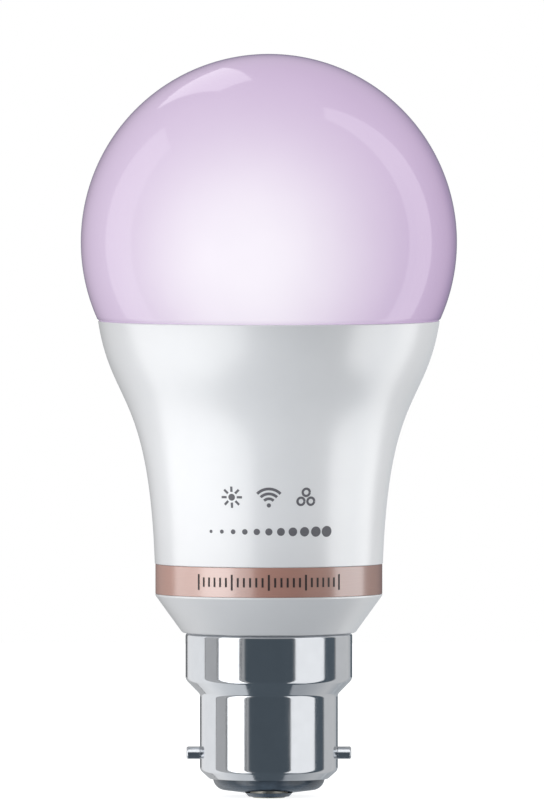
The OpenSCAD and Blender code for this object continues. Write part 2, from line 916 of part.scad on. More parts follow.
// A lead on the board's back: down out of its part, a quarter bend, and through the board.
module bent_lead(x, y, part_z, board_z) {
    down = board_z < part_z ? 1 : -1;
    translate([x, y - lead_bend, board_z + down * lead_bend])
    mirror([0, 0, down < 0 ? 1 : 0])
    rotate([-90, 0, 90])
    rotate_extrude(angle = 90) translate([lead_bend, 0]) circle(r = lead_r);
    z0 = min(part_z, board_z + down * lead_bend);
    z1 = max(part_z, board_z + down * lead_bend);
    translate([x, y, z0]) cylinder(r = lead_r, h = z1 - z0);
    rod_y(x, board_z, lead_r, -face_y - lead_tail, y - lead_bend);
}

module component_leads() {
    color([0.78, 0.79, 0.80]) {
        for (p = bent_leads)
            mirror([0, p[1] < 0 ? 1 : 0, 0]) bent_lead(p[0], abs(p[1]), p[2], p[3]);
        for (p = straight_leads)
            mirror([0, p[1] < 0 ? 1 : 0, 0])
            rod_y(p[0], p[2], lead_r, -face_y - lead_tail, abs(p[1]));
    }
}

// A solder cone about a lead of radius r, on the board's front.
module solder_cone(x, z, r) {
    foot = 0.85;
    height = 0.55;
    translate([x, -face_y, z])
    rotate([90, 0, 0])
    rotate_extrude() polygon([[r, 0], [foot, 0], [r + 0.08, height], [r, height]]);
}

module solder_joints() {
    color([0.74, 0.75, 0.77]) {
        for (p = bent_leads)
            mirror([0, p[1] < 0 ? 1 : 0, 0]) solder_cone(p[0], p[3], lead_r);
        for (p = straight_leads)
            mirror([0, p[1] < 0 ? 1 : 0, 0]) solder_cone(p[0], p[2], lead_r);
        for (route = [front_route, rear_route]) {
            end = route[len(route) - 1];
            mirror([0, end[1] < 0 ? 1 : 0, 0]) solder_cone(end[0], end[2], core_r);
        }
    }
}

// ---- Supply wires ----

module supply_wire_front() {
    color([0.75, 0.12, 0.10]) tube(smooth_route(front_route), wire_r);
}

module supply_wire_rear() {
    color([0.12, 0.12, 0.13]) tube(smooth_route(rear_route), wire_r);
}

// Bare ends of the two wires: one in each eyelet, and one through the driver board.
module supply_wire_cores() {
    color([0.80, 0.70, 0.55]) {
        at_contacts() translate([0, 0, solder_top_z]) cylinder(r = core_r, h = -1.35 - solder_top_z);
        for (route = [front_route, rear_route]) {
            end = route[len(route) - 1];
            mirror([0, end[1] < 0 ? 1 : 0, 0])
            rod_y(end[0], end[2], core_r, -face_y - lead_tail, abs(end[1]) - 0.05);
        }
    }
}

diffuser_globe();
globe_sealant();
housing();
accent_band();
cap_cement();
cap_shell();
cap_insulator();
contact_front();
contact_rear();
contact_solder();
bayonet_pin_left();
bayonet_pin_right();
heat_spreader();
thermal_pad();
led_board();
cool_white_leds();
warm_white_leds();
colour_leds();
board_screws();
board_connector();
connector_header();
connector_pins();
radio_board();
radio_shield();
radio_antenna();
radio_header();
radio_pins();
driver_board();
transformer_core();
transformer_bobbin();
transformer_winding();
input_capacitor();
output_capacitor();
film_capacitor();
filter_inductor_core();
filter_inductor_winding();
varistor();
fusible_resistor();
bridge_rectifier();
driver_chips();
small_components();
component_leads();
solder_joints();
supply_wire_front();
supply_wire_rear();
supply_wire_cores();
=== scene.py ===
"""Looks of the smart light bulb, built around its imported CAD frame. Lengths are in metres."""
import json
import math
import bmesh
import bpy
from mathutils import Matrix, Vector


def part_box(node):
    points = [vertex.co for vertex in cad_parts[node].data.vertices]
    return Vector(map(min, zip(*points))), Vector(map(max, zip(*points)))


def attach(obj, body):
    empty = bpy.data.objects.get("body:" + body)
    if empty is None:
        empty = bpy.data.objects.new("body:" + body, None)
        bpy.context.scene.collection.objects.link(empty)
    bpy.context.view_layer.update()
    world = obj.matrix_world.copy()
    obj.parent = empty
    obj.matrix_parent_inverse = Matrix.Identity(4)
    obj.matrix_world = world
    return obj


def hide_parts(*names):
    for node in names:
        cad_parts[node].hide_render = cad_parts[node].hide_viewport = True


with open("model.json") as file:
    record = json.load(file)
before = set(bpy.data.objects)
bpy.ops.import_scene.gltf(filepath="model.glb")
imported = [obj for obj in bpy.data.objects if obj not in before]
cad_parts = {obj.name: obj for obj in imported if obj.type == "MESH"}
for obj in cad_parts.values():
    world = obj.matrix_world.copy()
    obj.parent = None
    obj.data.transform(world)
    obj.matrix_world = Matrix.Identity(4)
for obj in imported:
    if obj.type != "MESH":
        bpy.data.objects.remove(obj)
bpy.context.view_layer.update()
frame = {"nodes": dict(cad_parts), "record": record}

MM = 0.001
BODY = "root"
SEGMENTS = 256  # sides of the large turned pieces
PIN_SEGMENTS = 48
ON_AXIS = 1e-7  # a point closer to the axis than this becomes a pole

# ---------------------------------------------------------------- sizes read from the frame

def half_width(node):
    low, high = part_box(node)
    return (high.x - low.x) / 2


globe_r = half_width("diffuser_globe")
globe_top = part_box("diffuser_globe")[1].z
globe_z = globe_top - globe_r
seam_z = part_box("housing")[1].z
rim_r = math.sqrt(globe_r**2 - (globe_z - seam_z) ** 2)
lip_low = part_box("diffuser_globe")[0].z
sealant_r = half_width("globe_sealant")

neck_r = half_width("accent_band")
band_low, band_high = (corner.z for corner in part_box("accent_band"))
flare_low = band_high + 0.1 * MM
foot_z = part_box("cap_shell")[1].z
spigot_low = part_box("housing")[0].z

skirt_r = half_width("cap_shell")
cap_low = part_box("cap_shell")[0].z
pin_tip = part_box("bayonet_pin_right")[1].x
base_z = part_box("contact_front")[0].z
board_half = half_width("driver_board")

# The same sizes as in the CAD, where the frame has no box to read them from.
shell_r = 11 * MM
cap_wall = 0.35 * MM
foot_r = 13.8 * MM
globe_wall = 1.2 * MM
housing_wall = 1.4 * MM
lip_r = 25.7 * MM
rebate_low = 66 * MM
foot_bore_z = 25.9 * MM
spigot_r = 12.6 * MM
spigot_bore_r = 11.3 * MM
recess_r = neck_r - 0.25 * MM

# ---------------------------------------------------------------- camera and stage

VIEW_HEIGHT = 127.6 * MM
LENS_MM = 1000
SENSOR_MM = 36
CAMERA_ELEVATION = 1.7
AIM = Vector((0.5 * MM, 0, 56.3 * MM))
CLIP_START, CLIP_END = 0.1, 40


def make_camera():
    data = bpy.data.cameras.new("camera")
    data.lens = LENS_MM
    data.sensor_width = SENSOR_MM
    distance = VIEW_HEIGHT * LENS_MM / SENSOR_MM
    data.clip_start = CLIP_START
    data.clip_end = CLIP_END
    camera = link("camera", data)
    angle = math.radians(CAMERA_ELEVATION)
    back = Vector((0, -math.cos(angle), math.sin(angle)))
    camera.location = AIM + back * distance
    camera.rotation_mode = "QUATERNION"
    camera.rotation_quaternion = (-back).to_track_quat("-Z", "Y")
    bpy.context.scene.camera = camera


# ---------------------------------------------------------------- mesh helpers

def link(name, data):
    made = bpy.data.objects.new(name, data)
    bpy.context.scene.collection.objects.link(made)
    return made


def finish_mesh(name, bm, sharp_degrees=32):
    """Makes a smooth-shaded object of bm, with edges above that angle kept sharp."""
    bmesh.ops.recalc_face_normals(bm, faces=bm.faces)
    mesh = bpy.data.meshes.new(name)
    bm.to_mesh(mesh)
    bm.free()
    mesh.shade_smooth()
    mesh.set_sharp_from_angle(angle=math.radians(sharp_degrees))
    return link(name, mesh)


def rounded(corners, steps=6):
    """A line through corners (r, z, fillet), with an arc at each corner that has a fillet. The
    fillet shrinks where it would take more than most of the side to a neighbouring corner."""
    most = 0.49
    line = []
    for i, (r, z, fillet) in enumerate(corners):
        here = Vector((r, z))
        if fillet == 0:
            line.append((r, z))
            continue
        before = Vector(corners[i - 1][:2]) - here
        after = Vector(corners[i + 1][:2]) - here
        half = before.angle(after) / 2
        reach = min(fillet / math.tan(half), most * before.length, most * after.length)
        radius = reach * math.tan(half)
        start = here + before.normalized() * reach
        end = here + after.normalized() * reach
        inward = (before.normalized() + after.normalized()).normalized()
        centre = here + inward * radius / math.sin(half)
        first, last = start - centre, end - centre
        turn = math.atan2(first.x * last.y - first.y * last.x, first.dot(last))
        for k in range(steps + 1):
            a = turn * k / steps
            line.append((
                centre.x + first.x * math.cos(a) - first.y * math.sin(a),
                centre.y + first.x * math.sin(a) + first.y * math.cos(a),
            ))
    return line


def round_angles(count):
    """Angles of that many points evenly round a circle, in radians."""
    return [2 * math.pi * k / count for k in range(count)]


def arc(centre, radius, start, end, steps):
    """Points about centre, from angle start to angle end, in degrees."""
    angles = [math.radians(start + (end - start) * k / steps) for k in range(steps + 1)]
    return [(centre[0] + radius * math.cos(a), centre[1] + radius * math.sin(a)) for a in angles]


def supported(line, closed):
    """The line with a point just inside both ends of each long stretch off the axis, which keeps
    smooth shading flat between them."""
    reach, longest = 0.08 * MM, 0.6 * MM
    ends = line[1:] + (line[:1] if closed else [])
    made = []
    for here, there in zip(line, ends):
        made.append(here)
        length = math.dist(here, there)
        if length > longest and min(here[0], there[0]) > 0:
            for share in (reach / length, 1 - reach / length):
                made.append(tuple(a + (b - a) * share for a, b in zip(here, there)))
    return made if closed else made + [line[-1]]


def revolve(bm, line, closed, segments):
    """Adds a line of (radius, height) turned about Z to bm. Points on the axis become poles."""
    rings = []
    for r, z in supported(line, closed):
        if r < ON_AXIS:
            rings.append([bm.verts.new((0, 0, z))])
        else:
            ring = [(r * math.cos(a), r * math.sin(a), z) for a in round_angles(segments)]
            rings.append([bm.verts.new(point) for point in ring])
    for one, two in zip(rings, rings[1:] + (rings[:1] if closed else [])):
        for k in range(segments):
            m = (k + 1) % segments
            if len(one) == 1:
                bm.faces.new((one[0], two[k], two[m]))
            elif len(two) == 1:
                bm.faces.new((one[k], two[0], one[m]))
            else:
                bm.faces.new((one[k], two[k], two[m], one[m]))


def lathe(name, line, closed=False, segments=SEGMENTS):
    bm = bmesh.new()
    revolve(bm, line, closed, segments)
    return finish_mesh(name, bm)


def place(piece, material, node=None):
    """Gives a finished piece its body and material, and hides the CAD node that it stands for."""
    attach(piece, BODY)
    if node:
        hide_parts(node)
    piece.data.materials.append(material)
    return piece


# ---------------------------------------------------------------- materials

class Shader:
    """A node material with one Principled shader, and short ways to drive it from noise. Noise
    stays mostly between NOISE_LOW and NOISE_HIGH."""

    NOISE_LOW, NOISE_HIGH = 0.3, 0.7
    PATCH_DETAIL, BUMP_DETAIL = 4, 3
    LEAST_ROUGHNESS = 0.02

    def __init__(self, name, color, roughness, metallic=0.0):
        self.material = bpy.data.materials.new(name)
        self.material.use_nodes = True
        self.tree = self.material.node_tree
        self.bsdf = self.tree.nodes["Principled BSDF"]
        self.set("Base Color", (*color, 1))
        self.set("Roughness", roughness)
        self.set("Metallic", metallic)
        self.color = color
        self.roughness = roughness
        self.coordinates = self.node("ShaderNodeTexCoord").outputs["Object"]

    def set(self, socket, value):
        self.bsdf.inputs[socket].default_value = value

    def node(self, kind, **settings):
        made = self.tree.nodes.new(kind)
        for key, value in settings.items():
            setattr(made, key, value)
        return made

    def link(self, out, into):
        self.tree.links.new(out, into)

    def stretched(self, scale):
        mapping = self.node("ShaderNodeMapping")
        mapping.inputs["Scale"].default_value = scale
        self.link(self.coordinates, mapping.inputs["Vector"])
        return mapping.outputs["Vector"]

    def noise(self, size, detail, stretch):
        """Noise whose features are about size metres across."""
        made = self.node("ShaderNodeTexNoise")
        made.inputs["Scale"].default_value = 1 / size
        made.inputs["Detail"].default_value = detail
        self.link(self.stretched(stretch), made.inputs["Vector"])
        return made.outputs["Fac"]

    def ramp(self, value, stops):
        made = self.node("ShaderNodeValToRGB")
        ramp = made.color_ramp
        while len(ramp.elements) < len(stops):
            ramp.elements.new(0.5)
        for element, (place_on_ramp, color) in zip(ramp.elements, stops):
            element.position = place_on_ramp
            element.color = (*color, 1)
        self.link(value, made.inputs["Fac"])
        return made.outputs["Color"]

    def spread(self, value, low, high):
        made = self.node("ShaderNodeMapRange")
        made.inputs["From Min"].default_value = self.NOISE_LOW
        made.inputs["From Max"].default_value = self.NOISE_HIGH
        made.inputs["To Min"].default_value = low
        made.inputs["To Max"].default_value = high
        self.link(value, made.inputs["Value"])
        return made.outputs["Result"]

    def vary_color(self, size, amount, stretch=(1, 1, 1)):
        dark = tuple(c * (1 - amount) for c in self.color)
        light = tuple(min(1, c * (1 + amount)) for c in self.color)
        stops = [(self.NOISE_LOW, dark), (self.NOISE_HIGH, light)]
        shade = self.ramp(self.noise(size, self.PATCH_DETAIL, stretch), stops)
        self.link(shade, self.bsdf.inputs["Base Color"])
        return self

    def vary_roughness(self, size, amount, stretch=(1, 1, 1)):
        low = max(self.LEAST_ROUGHNESS, self.roughness - amount)
        patches = self.noise(size, self.PATCH_DETAIL, stretch)
        shade = self.spread(patches, low, self.roughness + amount)
        self.link(shade, self.bsdf.inputs["Roughness"])
        return self

    def bump(self, size, height, stretch=(1, 1, 1)):
        self.bump_from(self.noise(size, self.BUMP_DETAIL, stretch), height)
        return self

    def bump_from(self, value, height):
        made = self.node("ShaderNodeBump")
        made.inputs["Distance"].default_value = height
        self.link(value, made.inputs["Height"])
        self.link(made.outputs["Normal"], self.bsdf.inputs["Normal"])


def opal_globe():
    shader = Shader("opal_globe", (0.32, 0.32, 0.33), 0.6)
    shader.set("Coat Weight", 1.0)
    shader.set("Coat Roughness", 0.07)
    shader.set("Emission Color", (0.84, 0.48, 1.0, 1))
    shader.set("Emission Strength", 0.415)
    shader.vary_color(8 * MM, 0.015)
    shader.bump(0.5 * MM, 0.002 * MM)
    return shader.material


def white_housing():
    shader = Shader("white_housing", (0.80, 0.81, 0.83), 0.38)
    shader.set("Coat Weight", 1.0)
    shader.set("Coat Roughness", 0.25)
    shader.set("Coat IOR", 1.8)
    shader.set("Specular IOR Level", 0.9)
    shader.vary_color(6 * MM, 0.012).vary_roughness(2 * MM, 0.02).bump(0.35 * MM, 0.0012 * MM)
    return shader.material


def rose_band():
    shader = Shader("rose_band", (0.38, 0.19, 0.145), 0.45)
    shader.set("Coat Weight", 1.0)
    shader.set("Coat Roughness", 0.22)
    shader.set("Coat IOR", 2.3)
    around = (1, 1, 30)
    shader.vary_color(3 * MM, 0.03, around).vary_roughness(1.5 * MM, 0.05, around)
    shader.bump(0.3 * MM, 0.002 * MM, around)
    return shader.material


def nickel_cap():
    shader = Shader("nickel_cap", (0.62, 0.64, 0.67), 0.10, 1.0)
    along = (1, 1, 0.1)
    shader.vary_color(2 * MM, 0.02).vary_roughness(0.8 * MM, 0.03, along)
    shader.bump(0.5 * MM, 0.0008 * MM, along)
    return shader.material


# Finish of each remaining slot: colour, roughness, metallic, size and share of the colour's
# variation, and size and height of the bump, both sizes and the height in millimetres.
PLAIN_FINISHES = {
    "clear_sealant": ((0.80, 0.80, 0.80), 0.40, 0, 1.5, 0.04, 0.6, 0.02),
    "cap_cement": ((0.62, 0.58, 0.50), 0.85, 0, 0.6, 0.10, 0.3, 0.03),
    "nickel_pin": ((0.58, 0.60, 0.63), 0.16, 1, 0.5, 0.05, 0.2, 0.003),
    "dark_insulator": ((0.045, 0.056, 0.07), 0.22, 0, 1.2, 0.20, 0.8, 0.006),
    "contact_brass": ((0.36, 0.35, 0.31), 0.42, 1, 0.5, 0.08, 0.2, 0.004),
    "contact_solder": ((0.55, 0.56, 0.58), 0.34, 1, 0.4, 0.08, 0.35, 0.02),
    "spreader_aluminium": ((0.70, 0.71, 0.73), 0.38, 1, 3.0, 0.05, 0.4, 0.006),
    "thermal_pad": ((0.34, 0.44, 0.56), 0.75, 0, 0.8, 0.10, 0.25, 0.02),
    "led_board": ((0.86, 0.86, 0.84), 0.45, 0, 2.5, 0.03, 0.3, 0.004),
    "screw_steel": ((0.56, 0.57, 0.60), 0.32, 1, 0.5, 0.08, 0.15, 0.006),
    "white_nylon": ((0.82, 0.80, 0.72), 0.50, 0, 1.0, 0.04, 0.2, 0.006),
    "black_nylon": ((0.015, 0.015, 0.017), 0.48, 0, 0.8, 0.25, 0.2, 0.006),
    "gold_pin": ((0.78, 0.55, 0.20), 0.22, 1, 0.6, 0.06, 0.2, 0.003),
    "radio_board": ((0.012, 0.045, 0.038), 0.30, 0, 0.9, 0.30, 0.5, 0.010),
    "shield_tin": ((0.60, 0.62, 0.64), 0.30, 1, 1.2, 0.06, 0.4, 0.006),
    "antenna_copper": ((0.72, 0.45, 0.18), 0.28, 1, 0.5, 0.06, 0.2, 0.003),
    "driver_board": ((0.016, 0.15, 0.065), 0.32, 0, 1.1, 0.30, 0.5, 0.010),
    "ferrite": ((0.035, 0.035, 0.038), 0.60, 0, 0.4, 0.30, 0.15, 0.010),
    "black_bobbin": ((0.018, 0.018, 0.020), 0.52, 0, 0.8, 0.20, 0.2, 0.006),
    "capacitor_sleeve": ((0.022, 0.024, 0.038), 0.25, 0, 2.0, 0.15, 1.0, 0.008),
    "film_capacitor": ((0.62, 0.42, 0.030), 0.28, 0, 1.2, 0.08, 0.8, 0.020),
    "varistor": ((0.025, 0.10, 0.36), 0.30, 0, 1.2, 0.10, 0.8, 0.020),
    "chip_epoxy": ((0.012, 0.012, 0.013), 0.55, 0, 0.5, 0.25, 0.12, 0.006),
    "chip_ceramic": ((0.45, 0.35, 0.23), 0.50, 0, 0.5, 0.15, 0.15, 0.006),
    "tinned_lead": ((0.62, 0.63, 0.65), 0.28, 1, 0.4, 0.06, 0.2, 0.004),
    "red_sleeve": ((0.52, 0.020, 0.015), 0.42, 0, 1.0, 0.08, 0.5, 0.008),
    "black_sleeve": ((0.016, 0.016, 0.018), 0.42, 0, 1.0, 0.15, 0.5, 0.008),
    "wire_copper": ((0.66, 0.42, 0.26), 0.32, 1, 0.3, 0.08, 0.12, 0.010),
}


def plain_finish(slot):
    color, roughness, metallic, patch, amount, grain, height = PLAIN_FINISHES[slot]
    shader = Shader(slot, color, roughness, metallic)
    shader.vary_color(patch * MM, amount).vary_roughness(patch * MM, 0.05)
    shader.bump(grain * MM, height * MM)
    return shader.material


def phosphor(slot, color, glow):
    shader = Shader(slot, color, 0.45)
    shader.set("Emission Color", (*color, 1))
    shader.set("Emission Strength", glow)
    shader.vary_color(0.5 * MM, 0.06).bump(0.15 * MM, 0.01 * MM)
    return shader.material


WAVE_LENGTH = 0.314  # metres between the bands of a wave texture whose scale is 1


def wound(slot, color, pitch, metallic, roughness):
    """Turns of wire or tape: fine ridges one above the other along Z, each two turns high."""
    shader = Shader(slot, color, roughness, metallic)
    wave = shader.node("ShaderNodeTexWave", bands_direction="Z")
    wave.inputs["Scale"].default_value = 0.5 / pitch * WAVE_LENGTH
    shader.link(shader.coordinates, wave.inputs["Vector"])
    shader.vary_color(0.8 * MM, 0.08)
    shader.bump_from(wave.outputs["Fac"], pitch * 0.4)
    return shader.material


def fusible_resistor():
    """Lacquer with colour rings round the body, placed along Z."""
    low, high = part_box("fusible_resistor")
    body, brown, black = (0.17, 0.34, 0.18), (0.16, 0.06, 0.02), (0.01, 0.01, 0.01)
    gold = (0.6, 0.4, 0.1)
    stops = [(0, body), (0.12, brown), (0.2, body), (0.36, black), (0.44, body), (0.74, gold),
             (0.82, body)]
    shader = Shader("resistor", body, 0.5)
    height = shader.node("ShaderNodeSeparateXYZ")
    shader.link(shader.coordinates, height.inputs["Vector"])
    share = shader.node("ShaderNodeMapRange")
    share.inputs["From Min"].default_value = low.z
    share.inputs["From Max"].default_value = high.z
    shader.link(height.outputs["Z"], share.inputs["Value"])
    color = shader.ramp(share.outputs["Result"], stops)
    shader.tree.nodes[-1].color_ramp.interpolation = "CONSTANT"
    shader.link(color, shader.bsdf.inputs["Base Color"])
    shader.bump(0.3 * MM, 0.01 * MM)
    return shader.material


def ink(name, color):
    shader = Shader(name, color, 0.5)
    shader.vary_color(0.6 * MM, 0.06).bump(0.15 * MM, 0.002 * MM)
    return shader.material


def slot_materials():
    made = {slot: plain_finish(slot) for slot in PLAIN_FINISHES}
    for own_finish in (opal_globe, white_housing, rose_band, nickel_cap):
        made[own_finish.__name__] = own_finish()
    made["cool_phosphor"] = phosphor("cool_phosphor", (0.80, 0.76, 0.42), 0.4)
    made["warm_phosphor"] = phosphor("warm_phosphor", (0.86, 0.52, 0.14), 0.4)
    made["colour_led"] = phosphor("colour_led", (0.72, 0.60, 0.90), 1.5)
    made["coil_tape"] = wound("coil_tape", (0.70, 0.46, 0.06), 0.9 * MM, 0.0, 0.35)
    made["coil_copper"] = wound("coil_copper", (0.50, 0.17, 0.06), 0.35 * MM, 0.9, 0.3)
    made["resistor"] = fusible_resistor()
    return made


# ---------------------------------------------------------------- globe

def make_globe(material):
    """One thick shell: outside from the top to the seam, the lip in the housing, and inside."""
    bevel = 0.25 * MM
    edge, bend = 0.1 * MM, 0.3 * MM
    shoulder_z = seam_z + 0.6 * MM
    inner_r = globe_r - globe_wall
    start = math.degrees(math.asin((seam_z + bevel - globe_z) / globe_r))
    inner_start = math.degrees(math.asin((seam_z - globe_z) / inner_r)) + 2
    outside = arc((0, globe_z), globe_r, 90, start, 110)
    inside = arc((0, globe_z), inner_r, inner_start, 90, 100)
    lip = rounded([
        (*outside[-1], 0),
        (rim_r - bevel, seam_z, edge),
        (lip_r, seam_z, edge),
        (lip_r, lip_low, bend),
        (lip_r - globe_wall, lip_low, bend),
        (lip_r - globe_wall, shoulder_z, bend),
        (*inside[0], 0),
    ])
    line = [(0.0, globe_top)] + outside[1:] + lip[1:] + inside[1:-1] + [(0.0, globe_z + inner_r)]
    return place(lathe("globe", line), material, "diffuser_globe")


# ---------------------------------------------------------------- housing

# Control points (radius, height) of the flare's curve, from the neck to the seam.
FLARE = [
    Vector((neck_r + 0.1 * MM, flare_low)),
    Vector((neck_r + 1.1 * MM, 58 * MM)),
    Vector((rim_r - 2.1 * MM, 55.3 * MM)),
    Vector((rim_r, seam_z)),
]
HALVINGS = 40


def flare_point(t):
    a, b, c, d = FLARE
    return a * (1 - t) ** 3 + b * 3 * (1 - t) ** 2 * t + c * 3 * (1 - t) * t * t + d * t**3


def housing_radius(z):
    """Outer radius of the flare at height z, found by halving."""
    low, high = 0.0, 1.0
    for _ in range(HALVINGS):
        middle = (low + high) / 2
        if flare_point(middle).y < z:
            low = middle
        else:
            high = middle
    return flare_point(low).x


def rail(bm, side):
    """Slotted rail for one edge of the driver board, on the side with that sign of X."""
    inner, outer = board_half - 1.3 * MM, neck_r - 1.1 * MM
    low, high = 25.2 * MM, 33 * MM
    half, slot, floor = 2.6 * MM, 0.85 * MM, 0.8 * MM
    depth = board_half + 0.1 * MM
    outline = [(outer, -half), (inner, -half), (inner, -slot), (depth, -slot),
               (depth, slot), (inner, slot), (inner, half), (outer, half)]
    full = [outline[i] for i in (0, 1, 6, 7)]
    for points, z0, z1 in ((full, low, low + floor), (outline, low + floor, high)):
        rings = [[bm.verts.new((side * x, y, z)) for x, y in points] for z in (z0, z1)]
        bm.faces.new(rings[0])
        bm.faces.new(rings[1])
        count = len(points)
        for k in range(count):
            m = (k + 1) % count
            bm.faces.new((rings[0][k], rings[0][m], rings[1][m], rings[1][k]))


def make_housing(material):
    """Outside from the spigot up, the rebate for the globe's lip, inside, and the rails."""
    steps, inner_steps, inner_last = 90, 60, 54
    edge = 0.06 * MM
    flare = [tuple(flare_point(t / steps)) for t in range(steps + 1)]
    wall = Vector((housing_wall, 0))
    inner = [tuple(flare_point(t / inner_steps) - wall) for t in range(inner_last, -1, -1)]
    outside = rounded([
        (spigot_bore_r, spigot_low, 0),
        (spigot_r, spigot_low, 0.3 * MM),
        (spigot_r, foot_z, 0.05 * MM),
        (foot_r, foot_z, 0.6 * MM),
        (neck_r, band_low - 0.25 * MM, 1.0 * MM),
        (neck_r, band_low, edge),
        (recess_r, band_low, 0),
        (recess_r, band_high, 0),
        (neck_r, band_high, edge),
        (*flare[0], 0),
    ], steps=8)
    top = rounded([
        (*flare[-2], 0),
        (rim_r - 0.02 * MM, seam_z, 0.28 * MM),
        (sealant_r, seam_z, 0.1 * MM),
        (sealant_r, rebate_low, 0),
        (inner[0][0], rebate_low, 0),
    ])
    bore = [(neck_r - housing_wall, foot_bore_z), (spigot_bore_r, foot_z)]
    bm = bmesh.new()
    revolve(bm, outside + flare[1:-2] + top + inner + bore, True, SEGMENTS)
    for side in (-1, 1):
        rail(bm, side)
    shell = finish_mesh("housing_shell", bm, sharp_degrees=28)
    return place(shell, material, "housing")


def make_band(material):
    inner = recess_r + 0.01 * MM
    gap, edge = 0.03 * MM, 0.08 * MM
    line = rounded([
        (inner, band_low + gap, 0),
        (neck_r, band_low + gap, edge),
        (neck_r, band_high - gap, edge),
        (inner, band_high - gap, 0),
    ])
    return place(lathe("band", line, True), material, "accent_band")


# ---------------------------------------------------------------- printed pictograms

INK_T = 0.03 * MM  # ink above the surface, with as much below it
SIGNS_Z = 41.4 * MM
SCALE_Z = 35.9 * MM


class Print:
    """Flat ink drawn on a surface of revolution. u runs round the lamp and v up, in metres."""

    def __init__(self, name, z, radius_at):
        self.name, self.z, self.radius_at = name, z, radius_at
        self.bm = bmesh.new()

    def vertex(self, u, v, lift):
        z = self.z + v
        r = self.radius_at(z) + lift
        a = u / self.radius_at(self.z)
        return self.bm.verts.new((r * math.sin(a), -r * math.cos(a), z))

    def solid(self, points, faces, rim):
        """Faces over flat points, given thickness, with a wall along the closed rim."""
        top = [self.vertex(u, v, INK_T) for u, v in points]
        low = [self.vertex(u, v, -INK_T) for u, v in points]
        for face in faces:
            self.bm.faces.new([top[i] for i in face])
            self.bm.faces.new([low[i] for i in reversed(face)])
        for i, j in zip(rim, rim[1:] + rim[:1]):
            self.bm.faces.new((top[i], low[i], low[j], top[j]))

    def dot(self, u, v, r):
        sides = 28
        rim = [(u + r * math.cos(a), v + r * math.sin(a)) for a in round_angles(sides)]
        fan = [(sides, k, (k + 1) % sides) for k in range(sides)]
        self.solid(rim + [(u, v)], fan, list(range(sides)))

    def stroke(self, line, width):
        """A line drawn with square ends."""
        left, right = [], []
        for i, (u, v) in enumerate(line):
            ahead = Vector(line[min(i + 1, len(line) - 1)]) - Vector(line[max(i - 1, 0)])
            side = Vector((-ahead.y, ahead.x)).normalized() * width / 2
            left.append((u + side.x, v + side.y))
            right.append((u - side.x, v - side.y))
        count = len(line)
        faces = [(i, i + 1, count + i + 1, count + i) for i in range(count - 1)]
        rim = list(range(count)) + list(range(2 * count - 1, count - 1, -1))
        self.solid(left + right, faces, rim)

    def finish(self, slot, material):
        return place(finish_mesh(self.name, self.bm), material)


def draw_sun(ink_print, u, size):
    """A sign centred at u. Here and below, lengths are shares of size, about half its height."""
    ink_print.dot(u, 0, 0.32 * size)
    for k in range(8):
        a = math.radians(45 * k)
        reach = [0.5 * size, 0.75 * size, size]
        ink_print.stroke([(u + r * math.cos(a), r * math.sin(a)) for r in reach], 0.22 * size)


def draw_waves(ink_print, u, size):
    foot = (u, -0.75 * size)
    ink_print.dot(*foot, 0.2 * size)
    for radius in (0.62, 1.08, 1.54):
        ink_print.stroke(arc(foot, radius * size, 135, 45, 16), 0.26 * size)


def draw_trio(ink_print, u, size):
    for angle in (90, 210, 330):
        a = math.radians(angle)
        centre = (u + 0.56 * size * math.cos(a), 0.56 * size * math.sin(a) - 0.1 * size)
        ink_print.stroke(arc(centre, 0.34 * size, 0, 358, 28), 0.22 * size)


def make_prints(grey_ink, dark_ink):
    signs = Print("print_signs", SIGNS_Z, housing_radius)
    size, spacing = 1.7 * MM, 6 * MM
    draw_sun(signs, -spacing, size)
    draw_waves(signs, 0, size)
    draw_trio(signs, spacing, size)

    scale = Print("print_scale", SCALE_Z, housing_radius)
    count, half = 11, 9.6 * MM
    smallest, growth = 0.26, 0.62
    for i in range(count):
        share = i / (count - 1)
        scale.dot(half * (2 * share - 1), 0, (smallest + growth * share) * MM)

    ticks = Print("print_ticks", (band_low + band_high) / 2, lambda z: neck_r)
    count, half = 25, 12 * MM
    long, short, long_every, width = 1.25 * MM, 0.75 * MM, 6, 0.32 * MM
    for i in range(count):
        u = half * (2 * i / (count - 1) - 1)
        reach = long if i % long_every == 0 else short
        ticks.stroke([(u, -reach), (u, 0), (u, reach)], width)
    grey = [drawing.finish("white_housing", grey_ink) for drawing in (signs, scale)]
    return grey + [ticks.finish("rose_band", dark_ink)]


# ---------------------------------------------------------------- cap

